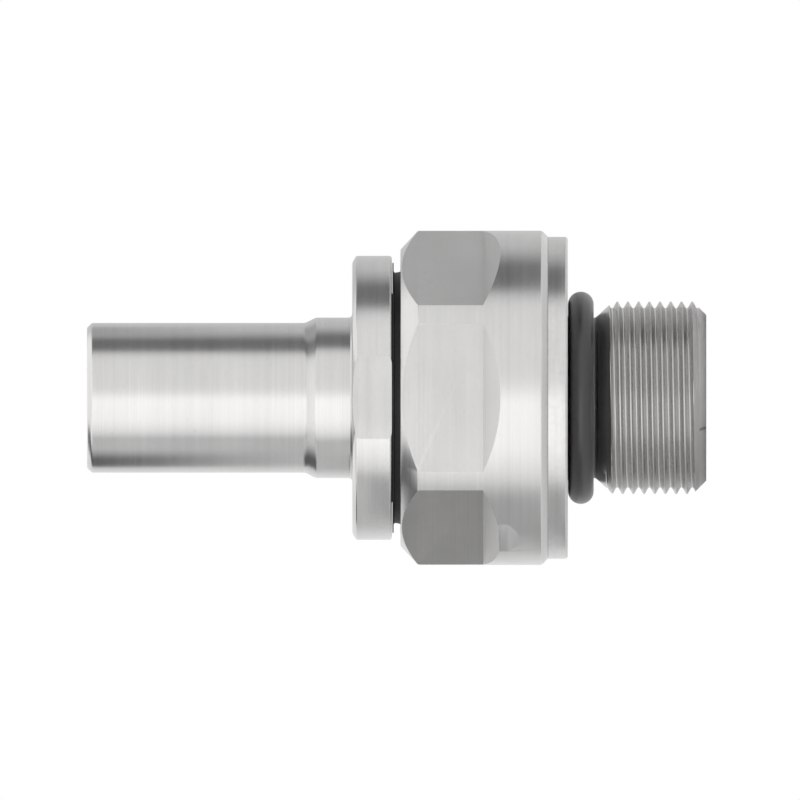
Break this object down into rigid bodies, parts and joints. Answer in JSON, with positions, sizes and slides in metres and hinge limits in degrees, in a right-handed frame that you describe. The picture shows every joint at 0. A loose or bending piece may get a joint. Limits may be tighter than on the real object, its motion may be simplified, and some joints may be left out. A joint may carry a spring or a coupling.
{
  "type": "swivel coupling",
  "caption": "Straight stainless swivel coupling: a plain tube stub with a flange turns in a hexagonal housing on a male port thread with an O-ring.",
  "frame": {"origin": "centre of the thread's free end face, the lowest point of the upright part", "axes": "+Z along the axis of rotation from the threaded end to the tube end; two opposite hexagon flats face -Y and +Y"},
  "size_m": [0.0624, 0.0624, 0.1158],
  "materials": {
    "rotor_steel": "turned stainless steel, fine lathe marks",
    "housing_steel": "turned stainless steel with milled flats",
    "stud_steel": "turned stainless steel with a cut thread",
    "nut_steel": "machined steel",
    "washer_steel": "stamped sheet steel",
    "bearing_steel": "ground bearing steel",
    "ball_steel": "polished bearing balls",
    "cage_brass": "machined brass cage",
    "seal_rubber": "black moulded rubber",
    "port_ring_rubber": "black rubber, satin",
    "static_ring_rubber": "black rubber",
    "seal_polymer": "filled sealing polymer",
    "guide_polymer": "dark guide ring polymer"
  },
  "bodies": {
    "housing": {"hex_housing": "housing_steel", "threaded_stud": "stud_steel", "dust_seal": "seal_rubber", "port_o_ring": "port_ring_rubber", "housing_o_ring": "static_ring_rubber", "lower_guide_ring": "guide_polymer", "upper_guide_ring": "guide_polymer", "seal_ring": "seal_polymer", "energiser_ring": "static_ring_rubber", "bearing_outer_ring": "bearing_steel"},
    "rotor": {"rotor_stem": "rotor_steel", "bearing_nut": "nut_steel", "tab_washer": "washer_steel", "bearing_inner_ring": "bearing_steel"},
    "ball_row": {"bearing_cage": "cage_brass", "ball_01": "ball_steel", "ball_02": "ball_steel", "ball_03": "ball_steel", "ball_04": "ball_steel", "ball_05": "ball_steel", "ball_06": "ball_steel", "ball_07": "ball_steel", "ball_08": "ball_steel", "ball_09": "ball_steel", "ball_10": "ball_steel"}
  },
  "joints": [
    {"name": "rotor_spin", "type": "hinge", "parent": "housing", "child": "rotor", "pos_m": [0, 0, 0.048], "axis": [0, 0, 1], "continuous": true},
    {"name": "ball_row_spin", "type": "hinge", "parent": "housing", "child": "ball_row", "pos_m": [0, 0, 0.048], "axis": [0, 0, 1], "continuous": true}
  ],
  "couplings": [
    {"joint": "ball_row_spin", "follows": "rotor_spin", "ratio": 0.4498}
  ]
}
